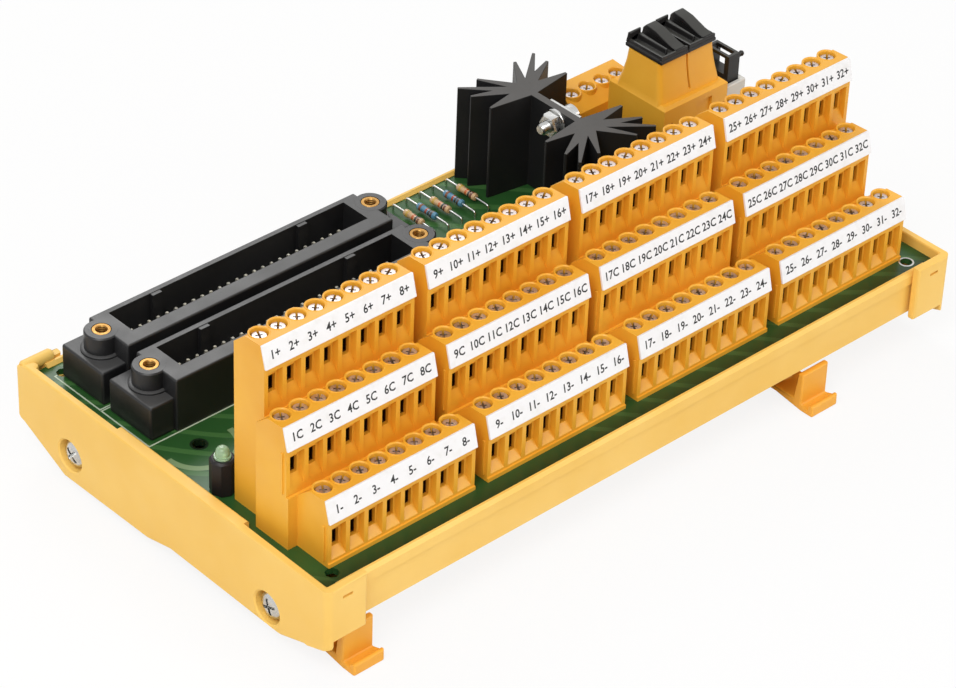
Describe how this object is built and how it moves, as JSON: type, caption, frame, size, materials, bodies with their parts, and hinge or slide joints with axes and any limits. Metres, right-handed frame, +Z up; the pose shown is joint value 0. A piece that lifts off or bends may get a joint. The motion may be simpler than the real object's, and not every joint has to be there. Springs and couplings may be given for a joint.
{
  "type": "terminal interface module",
  "caption": "Rail-mounted interface module: tiered screw terminals on a circuit board in a profile tray, with two pin headers, a heat sink, fuse holders and end caps.",
  "frame": {"origin": "middle of the 35 mm rail seat between the two feet, level with the top of the rail's lips", "axes": "+X along the module to the fuse end, +Y to the pin header side, +Z up away from the rail"},
  "size_m": [0.1928, 0.1086, 0.0671],
  "materials": {
    "terminal_plastic": "moulded yellow-orange plastic, satin",
    "tray_plastic": "extruded and moulded yellow-orange plastic, satin",
    "marker_white": "white marker strip",
    "header_black": "moulded black plastic",
    "pin_gold": "gold-flashed contact pins",
    "insert_brass": "turned brass",
    "screw_zinc": "zinc-plated steel",
    "contact_brass": "tinned brass",
    "screw_steel": "bright zinc-plated steel",
    "board_green": "green solder mask on glass-fibre board",
    "anodised_black": "black anodised aluminium",
    "component_black": "black moulded plastic",
    "tab_metal": "tinned copper tab",
    "lead_tin": "tinned wire",
    "carrier_black": "black moulded plastic",
    "fuse_glass": "glass tube fuse",
    "socket_grey": "light grey plastic",
    "lens_green": "tinted lens",
    "resistor_blue": "blue lacquer",
    "resistor_tan": "tan lacquer"
  },
  "bodies": {
    "module": {"block_1_high_tier": "terminal_plastic", "block_1_low_tier": "terminal_plastic", "block_1_middle_tier": "terminal_plastic", "block_2_high_tier": "terminal_plastic", "block_2_low_tier": "terminal_plastic", "block_2_middle_tier": "terminal_plastic", "block_3_high_tier": "terminal_plastic", "block_3_low_tier": "terminal_plastic", "block_3_middle_tier": "terminal_plastic", "block_4_high_tier": "terminal_plastic", "block_4_low_tier": "terminal_plastic", "block_4_middle_tier": "terminal_plastic", "circuit_board": "board_green", "end_cap_left": "tray_plastic", "end_cap_right": "tray_plastic", "end_cap_screws": "screw_steel", "fuse_base": "terminal_plastic", "fuse_contacts": "contact_brass", "header_front_housing": "header_black", "header_front_pins": "pin_gold", "header_rear_housing": "header_black", "header_rear_pins": "pin_gold", "header_screw_inserts": "insert_brass", "heat_sink": "anodised_black", "led_lens": "lens_green", "led_spacer": "component_black", "link_socket": "socket_grey", "marker_strips_high": "marker_white", "marker_strips_low": "marker_white", "marker_strips_middle": "marker_white", "profile_tray": "tray_plastic", "rail_foot_left": "tray_plastic", "rail_foot_right": "tray_plastic", "regulator_body": "component_black", "regulator_leads": "lead_tin", "regulator_nut": "screw_steel", "regulator_screw": "screw_steel", "regulator_tab": "tab_metal", "regulator_washer": "screw_steel", "resistor_leads": "lead_tin", "resistors_blue": "resistor_blue", "resistors_tan": "resistor_tan", "supply_terminal_block": "terminal_plastic", "terminal_screws_high": "screw_zinc", "terminal_screws_low": "screw_zinc", "terminal_screws_middle": "screw_zinc", "terminal_screws_supply": "screw_zinc"},
    "left_latch": {"rail_latch_left": "tray_plastic"},
    "right_latch": {"rail_latch_right": "tray_plastic"},
    "fuse_1_carrier": {"fuse_carrier_1": "carrier_black", "fuse_1": "fuse_glass"},
    "fuse_2_carrier": {"fuse_carrier_2": "carrier_black", "fuse_2": "fuse_glass"},
    "link": {"link_plug": "carrier_black"}
  },
  "joints": [
    {"name": "left_latch_slide", "type": "slide", "parent": "module", "child": "left_latch", "axis": [0, -1, 0], "range_m": [0, 0.0025], "stiffness_N_per_m": 1500},
    {"name": "right_latch_slide", "type": "slide", "parent": "module", "child": "right_latch", "axis": [0, -1, 0], "range_m": [0, 0.0025], "stiffness_N_per_m": 1500},
    {"name": "fuse_1_carrier_pull", "type": "slide", "parent": "module", "child": "fuse_1_carrier", "axis": [0, 0, 1], "range_m": [0, 0.035]},
    {"name": "fuse_2_carrier_pull", "type": "slide", "parent": "module", "child": "fuse_2_carrier", "axis": [0, 0, 1], "range_m": [0, 0.035]},
    {"name": "link_plug_pull", "type": "slide", "parent": "module", "child": "link", "axis": [0, 0, 1], "range_m": [0, 0.018]}
  ]
}
